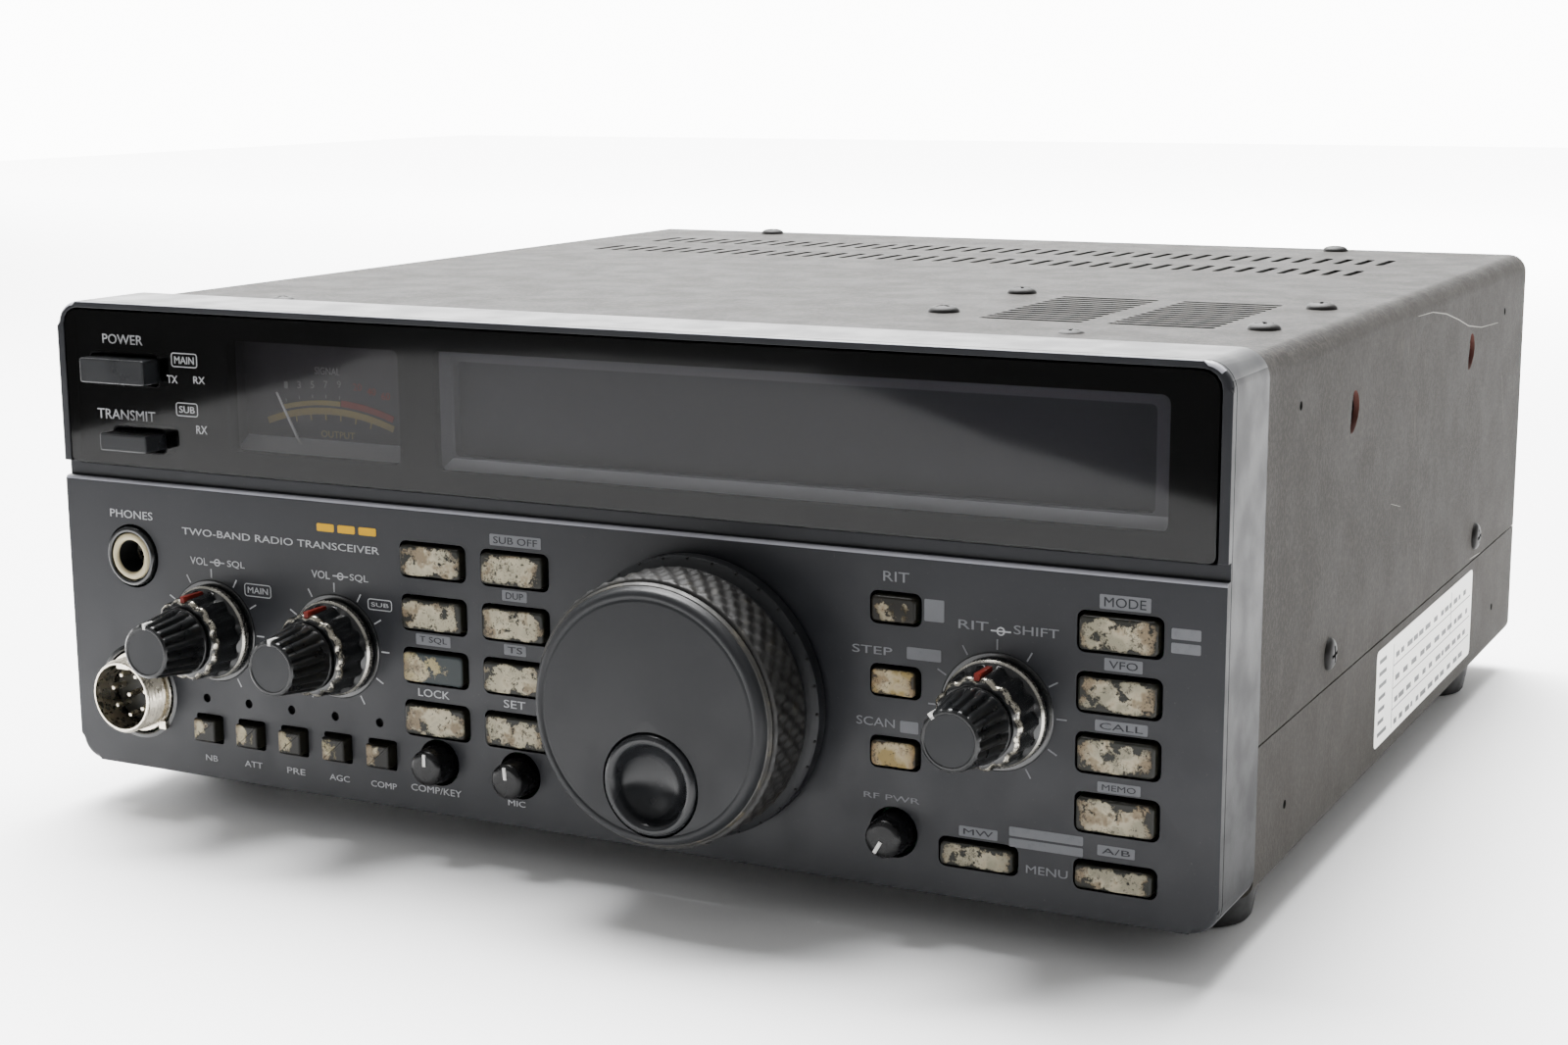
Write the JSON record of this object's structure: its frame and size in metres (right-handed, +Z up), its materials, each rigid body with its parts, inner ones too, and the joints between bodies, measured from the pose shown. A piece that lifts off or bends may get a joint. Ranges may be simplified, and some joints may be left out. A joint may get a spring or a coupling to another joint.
{
  "type": "amateur radio base transceiver",
  "caption": "Compact base-station radio transceiver with a smoked display window, a large tuning dial, concentric knobs, worn push keys, a vented metal case and rear antenna sockets.",
  "frame": {"origin": "on the table under the middle of the set: the centre, in X and Y, of the box around it, at the height of the feet's soles", "axes": "+Z up; the front panel faces -Y and the rear sockets face +Y; +X is to the right of a person who faces the front"},
  "size_m": [0.241, 0.279, 0.1025],
  "materials": {
    "panel": "satin moulded plastic, dark grey",
    "window": "glossy smoked acrylic",
    "case": "fine textured dark grey paint, scuffed",
    "keys": "dark grey paint worn through to cream plastic",
    "black_plastic": "satin black",
    "knobs": "black with worn bright edges",
    "dial": "satin dark grey with a rubber grip band",
    "nickel": "nickel plate, slightly tarnished",
    "bush": "cream bush in a black ring",
    "rubber": "matt black",
    "aluminium": "cast and machined",
    "board": "green solder mask",
    "meter": "matt black dial face",
    "needle": "pale grey pointer",
    "speaker": "black basket and paper cone"
  },
  "bodies": {
    "radio": {"front_panel": "panel", "display_window": "window", "display_module": "meter", "meter_housing": "meter", "phones_jack": "bush", "mic_connector": "nickel", "mic_insert": "black_plastic", "top_cover": "case", "bottom_cover": "case", "chassis": "aluminium", "rear_panel": "aluminium", "fan_frame": "black_plastic", "speaker": "speaker", "main_board": "board", "front_board": "board", "dial_encoder": "black_plastic", "antenna_socket_a": "nickel", "antenna_socket_b": "nickel", "dc_socket": "black_plastic", "foot_front_left": "rubber", "foot_front_right": "rubber", "foot_rear_left": "rubber", "foot_rear_right": "rubber"},
    "power_button": {"power_button": "black_plastic"},
    "transmit_button": {"transmit_button": "black_plastic"},
    "nb_button": {"nb_button": "keys"},
    "att_button": {"att_button": "keys"},
    "preamp_button": {"preamp_button": "keys"},
    "agc_button": {"agc_button": "keys"},
    "comp_button": {"comp_button": "keys"},
    "left_key_a1": {"left_key_a1": "keys"},
    "left_key_b1": {"left_key_b1": "keys"},
    "right_key_1": {"right_key_1": "keys"},
    "left_key_a2": {"left_key_a2": "keys"},
    "left_key_b2": {"left_key_b2": "keys"},
    "right_key_2": {"right_key_2": "keys"},
    "left_key_a3": {"left_key_a3": "keys"},
    "left_key_b3": {"left_key_b3": "keys"},
    "right_key_3": {"right_key_3": "keys"},
    "left_key_a4": {"left_key_a4": "keys"},
    "left_key_b4": {"left_key_b4": "keys"},
    "right_key_4": {"right_key_4": "keys"},
    "rit_key": {"rit_key": "keys"},
    "step_key": {"step_key": "keys"},
    "scan_key": {"scan_key": "keys"},
    "right_key_5": {"right_key_5": "keys"},
    "memory_key": {"memory_key": "keys"},
    "main_squelch_ring": {"main_squelch_ring": "knobs"},
    "main_volume_knob": {"main_volume_knob": "knobs"},
    "sub_squelch_ring": {"sub_squelch_ring": "knobs"},
    "sub_volume_knob": {"sub_volume_knob": "knobs"},
    "shift_ring": {"shift_ring": "knobs"},
    "rit_knob": {"rit_knob": "knobs"},
    "comp_knob": {"comp_knob": "knobs"},
    "mic_gain_knob": {"mic_gain_knob": "knobs"},
    "rf_power_knob": {"rf_power_knob": "knobs"},
    "main_dial": {"main_dial": "dial"},
    "finger_cup": {"finger_cup": "knobs"},
    "fan_rotor": {"fan_rotor": "black_plastic"},
    "meter_needle": {"meter_needle": "needle"}
  },
  "joints": [
    {"name": "power_button_press", "type": "slide", "parent": "radio", "child": "power_button", "axis": [0, 1, 0], "range_m": [0, 0.003], "stiffness_N_per_m": 400},
    {"name": "transmit_button_press", "type": "slide", "parent": "radio", "child": "transmit_button", "axis": [0, 1, 0], "range_m": [0, 0.0035], "stiffness_N_per_m": 400},
    {"name": "nb_button_press", "type": "slide", "parent": "radio", "child": "nb_button", "axis": [0, 1, 0], "range_m": [0, 0.0018], "stiffness_N_per_m": 300},
    {"name": "att_button_press", "type": "slide", "parent": "radio", "child": "att_button", "axis": [0, 1, 0], "range_m": [0, 0.0018], "stiffness_N_per_m": 300},
    {"name": "preamp_button_press", "type": "slide", "parent": "radio", "child": "preamp_button", "axis": [0, 1, 0], "range_m": [0, 0.0018], "stiffness_N_per_m": 300},
    {"name": "agc_button_press", "type": "slide", "parent": "radio", "child": "agc_button", "axis": [0, 1, 0], "range_m": [0, 0.0018], "stiffness_N_per_m": 300},
    {"name": "comp_button_press", "type": "slide", "parent": "radio", "child": "comp_button", "axis": [0, 1, 0], "range_m": [0, 0.0018], "stiffness_N_per_m": 300},
    {"name": "left_key_a1_press", "type": "slide", "parent": "radio", "child": "left_key_a1", "axis": [0, 1, 0], "range_m": [0, 0.0012], "stiffness_N_per_m": 300},
    {"name": "left_key_b1_press", "type": "slide", "parent": "radio", "child": "left_key_b1", "axis": [0, 1, 0], "range_m": [0, 0.0012], "stiffness_N_per_m": 300},
    {"name": "right_key_1_press", "type": "slide", "parent": "radio", "child": "right_key_1", "axis": [0, 1, 0], "range_m": [0, 0.0012], "stiffness_N_per_m": 300},
    {"name": "left_key_a2_press", "type": "slide", "parent": "radio", "child": "left_key_a2", "axis": [0, 1, 0], "range_m": [0, 0.0012], "stiffness_N_per_m": 300},
    {"name": "left_key_b2_press", "type": "slide", "parent": "radio", "child": "left_key_b2", "axis": [0, 1, 0], "range_m": [0, 0.0012], "stiffness_N_per_m": 300},
    {"name": "right_key_2_press", "type": "slide", "parent": "radio", "child": "right_key_2", "axis": [0, 1, 0], "range_m": [0, 0.0012], "stiffness_N_per_m": 300},
    {"name": "left_key_a3_press", "type": "slide", "parent": "radio", "child": "left_key_a3", "axis": [0, 1, 0], "range_m": [0, 0.0012], "stiffness_N_per_m": 300},
    {"name": "left_key_b3_press", "type": "slide", "parent": "radio", "child": "left_key_b3", "axis": [0, 1, 0], "range_m": [0, 0.0012], "stiffness_N_per_m": 300},
    {"name": "right_key_3_press", "type": "slide", "parent": "radio", "child": "right_key_3", "axis": [0, 1, 0], "range_m": [0, 0.0012], "stiffness_N_per_m": 300},
    {"name": "left_key_a4_press", "type": "slide", "parent": "radio", "child": "left_key_a4", "axis": [0, 1, 0], "range_m": [0, 0.0012], "stiffness_N_per_m": 300},
    {"name": "left_key_b4_press", "type": "slide", "parent": "radio", "child": "left_key_b4", "axis": [0, 1, 0], "range_m": [0, 0.0012], "stiffness_N_per_m": 300},
    {"name": "right_key_4_press", "type": "slide", "parent": "radio", "child": "right_key_4", "axis": [0, 1, 0], "range_m": [0, 0.0012], "stiffness_N_per_m": 300},
    {"name": "rit_key_press", "type": "slide", "parent": "radio", "child": "rit_key", "axis": [0, 1, 0], "range_m": [0, 0.0012], "stiffness_N_per_m": 300},
    {"name": "step_key_press", "type": "slide", "parent": "radio", "child": "step_key", "axis": [0, 1, 0], "range_m": [0, 0.0012], "stiffness_N_per_m": 300},
    {"name": "scan_key_press", "type": "slide", "parent": "radio", "child": "scan_key", "axis": [0, 1, 0], "range_m": [0, 0.0012], "stiffness_N_per_m": 300},
    {"name": "right_key_5_press", "type": "slide", "parent": "radio", "child": "right_key_5", "axis": [0, 1, 0], "range_m": [0, 0.0012], "stiffness_N_per_m": 300},
    {"name": "memory_key_press", "type": "slide", "parent": "radio", "child": "memory_key", "axis": [0, 1, 0], "range_m": [0, 0.0012], "stiffness_N_per_m": 300},
    {"name": "main_squelch_ring_turn", "type": "hinge", "parent": "radio", "child": "main_squelch_ring", "pos_m": [-0.0843, -0.1195, 0.0388], "axis": [0, 1, 0], "range_deg": [-150, 150]},
    {"name": "main_volume_knob_turn", "type": "hinge", "parent": "radio", "child": "main_volume_knob", "pos_m": [-0.0843, -0.1195, 0.0388], "axis": [0, 1, 0], "range_deg": [-150, 150]},
    {"name": "sub_squelch_ring_turn", "type": "hinge", "parent": "radio", "child": "sub_squelch_ring", "pos_m": [-0.0545, -0.1195, 0.0388], "axis": [0, 1, 0], "range_deg": [-150, 150]},
    {"name": "sub_volume_knob_turn", "type": "hinge", "parent": "radio", "child": "sub_volume_knob", "pos_m": [-0.0545, -0.1195, 0.0388], "axis": [0, 1, 0], "range_deg": [-150, 150]},
    {"name": "shift_ring_turn", "type": "hinge", "parent": "radio", "child": "shift_ring", "pos_m": [0.0816, -0.1195, 0.042], "axis": [0, 1, 0], "range_deg": [-150, 150]},
    {"name": "rit_knob_turn", "type": "hinge", "parent": "radio", "child": "rit_knob", "pos_m": [0.0816, -0.1195, 0.042], "axis": [0, 1, 0], "range_deg": [-150, 150]},
    {"name": "comp_knob_turn", "type": "hinge", "parent": "radio", "child": "comp_knob", "pos_m": [-0.0315, -0.1195, 0.0186], "axis": [0, 1, 0], "range_deg": [-150, 150]},
    {"name": "mic_gain_knob_turn", "type": "hinge", "parent": "radio", "child": "mic_gain_knob", "pos_m": [-0.0134, -0.1195, 0.0184], "axis": [0, 1, 0], "range_deg": [-150, 150]},
    {"name": "rf_power_knob_turn", "type": "hinge", "parent": "radio", "child": "rf_power_knob", "pos_m": [0.0628, -0.1195, 0.0184], "axis": [0, 1, 0], "range_deg": [0, 300]},
    {"name": "main_dial_spin", "type": "hinge", "parent": "radio", "child": "main_dial", "pos_m": [0.025, -0.1195, 0.0387], "axis": [0, 1, 0], "continuous": true},
    {"name": "finger_cup_spin", "type": "hinge", "parent": "main_dial", "child": "finger_cup", "pos_m": [0.0258, -0.1387, 0.027], "axis": [0, 1, 0], "continuous": true},
    {"name": "fan_rotor_spin", "type": "hinge", "parent": "radio", "child": "fan_rotor", "pos_m": [0.012, 0.108, 0.056], "axis": [0, 1, 0], "continuous": true},
    {"name": "meter_needle_swing", "type": "hinge", "parent": "radio", "child": "meter_needle", "pos_m": [-0.0605, -0.1111, 0.0625], "axis": [0, 1, 0], "range_deg": [0, 62], "stiffness_Nm_per_rad": 0.0002}
  ]
}
